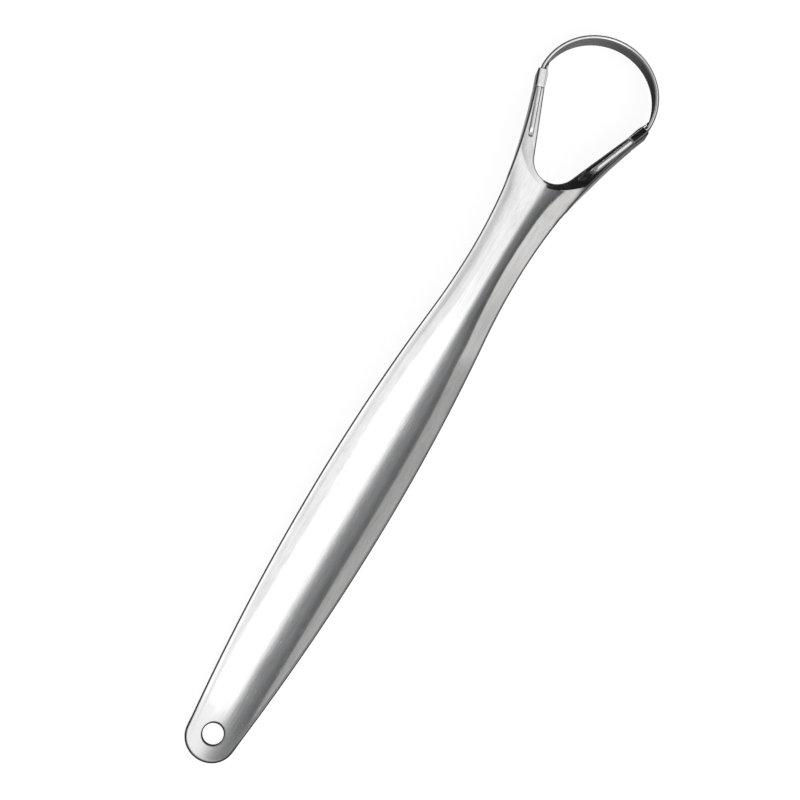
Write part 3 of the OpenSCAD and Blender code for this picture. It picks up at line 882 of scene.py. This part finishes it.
def studio():
    """Soft light as directions over the table. The angle is measured about the handle's length,
    0 overhead and growing to the left, and ahead runs from -1 at the tail's side to 1 at the
    head's. A broad white panel hangs overhead and to the right, with a brighter stripe over the
    tail and a softer part that the arms mirror. To its left are a dark flag and, beyond it, a
    dim side panel. Far ahead and to the left it is black."""
    world = bpy.data.worlds.new("studio")
    bpy.context.scene.world = world
    g = Graph(world)
    ray = g.node("ShaderNodeTexCoord").out("Generated")
    parts = g.node("ShaderNodeSeparateXYZ", {}, {"Vector": ray})
    ahead = parts.out("X")
    angle = parts.out("Y").math("ARCTAN2", parts.out("Z")) * (180 / math.pi)

    on_panel = (angle + ahead.step(0.50, 0.56, 0.0, 10.0)).step(-1.5, 12.5, 1.0, 0.0)
    stripe = angle.step(-36.0, -31.0) * ahead.step(-0.08, 0.22, 0.36, 0.07)
    panel = ((stripe + ahead.step(-0.1, 0.0, 1.04, 1.08))
             * angle.step(-70.0, -45.0, 0.68, 1.0) * ahead.step(0.2, 0.46, 1.0, 0.95))
    arms_light = angle.step(-26.0, -14.0) * ahead.step(0.495, 0.53, 0.30, 0.0) + 0.84
    to_arms = ahead.step(0.42, 0.54) * ahead.step(0.62, 0.75, 1.0, 0.0)
    panel = panel * (1.0 - to_arms * (1.0 - arms_light))

    flag = (angle.step(8.0, 20.0, 0.44, 0.26) * angle.step(21.0, 32.0, 1.0, 0.60)
            * ahead.step(-0.12, 0.1, 1.0, 0.76))
    on_side = (angle - ahead.step(-0.12, -0.02, 0.0, 3.5)
               + ahead.step(0.1, 0.25, 0.0, 2.5)).step(35.2, 37.0)
    side = on_side * (ahead.step(-0.155, -0.06, 0.23, 0.48) + ahead.step(0.0, 0.35, 0.0, 0.19))
    far_ahead = ahead.step(0.455, 0.49)
    beside = (flag + side) * (1.0 - far_ahead) + far_ahead * 0.012
    light = on_panel * panel + (1.0 - on_panel) * beside

    cool = angle.step(11.0, 18.0) * (1.0 - on_side)
    warm = (1.0 - on_panel) * on_side
    colour = g.node("ShaderNodeCombineColor", {}, {
        0: light * (1.0 - cool * 0.02 + warm * 0.008), 1: light,
        2: light * (1.0 + cool * 0.02 - warm * 0.015)})
    back = g.node("ShaderNodeBackground", {}, {"Color": colour, "Strength": 1.0})
    g.node("ShaderNodeOutputWorld", {}, {"Surface": back})


def lay_table():
    """A wide flat table. It is grey to the light, so that the tool's shadow stays faint, and glows
    to white where the camera, metal or glass sees it."""
    data = bpy.data.meshes.new("table")
    corners = [(x * TABLE_HALF, y * TABLE_HALF, 0) for x, y in ((-1, -1), (1, -1), (1, 1), (-1, 1))]
    data.from_pydata(corners, [], [(0, 1, 2, 3)])
    table = bpy.data.objects.new("table", data)
    bpy.context.scene.collection.objects.link(table)
    g = Graph(bpy.data.materials.new("table_white"))
    path = g.node("ShaderNodeLightPath")
    seen = path.out("Is Camera Ray").math("MAXIMUM", path.out("Is Glossy Ray")).math(
        "MAXIMUM", path.out("Is Transmission Ray"))
    lift = seen * TABLE_GLOW
    glow = g.node("ShaderNodeCombineColor", {}, {0: lift, 1: lift, 2: lift})
    shader = g.node("ShaderNodeBsdfPrincipled", {}, {
        "Base Color": (*grey(TABLE_GREY), 1.0), "Roughness": 0.9, "Specular IOR Level": 0.0,
        "Emission Color": glow, "Emission Strength": 1.0})
    g.node("ShaderNodeOutputMaterial", {}, {"Surface": shader})
    data.materials.append(g.owner)


def camera():
    """Long lens nearly overhead, leaning towards the tail, turned so that the handle runs up to
    the right. back points from the tool to the lens, and right is made square to it: less its
    share along back."""
    data = bpy.data.cameras.new("camera")
    data.lens = LENS
    data.sensor_width = SENSOR
    data.clip_start, data.clip_end = 0.05, 20
    obj = bpy.data.objects.new("camera", data)
    bpy.context.scene.collection.objects.link(obj)
    back = Vector(TO_LENS).normalized()
    right = Vector(TO_RIGHT)
    right = (right - right.dot(back) * back).normalized()
    turned = Matrix((right, back.cross(right), back)).transposed().to_4x4()
    obj.matrix_world = Matrix.Translation(SPOT) @ turned
    bpy.context.scene.camera = obj


def plain(box):
    """A box as lists of plain numbers."""
    return [[float(c) for c in corner] for corner in box]


dress()
studio()
lay_table()
camera()
bpy.context.scene.view_settings.view_transform = "Standard"
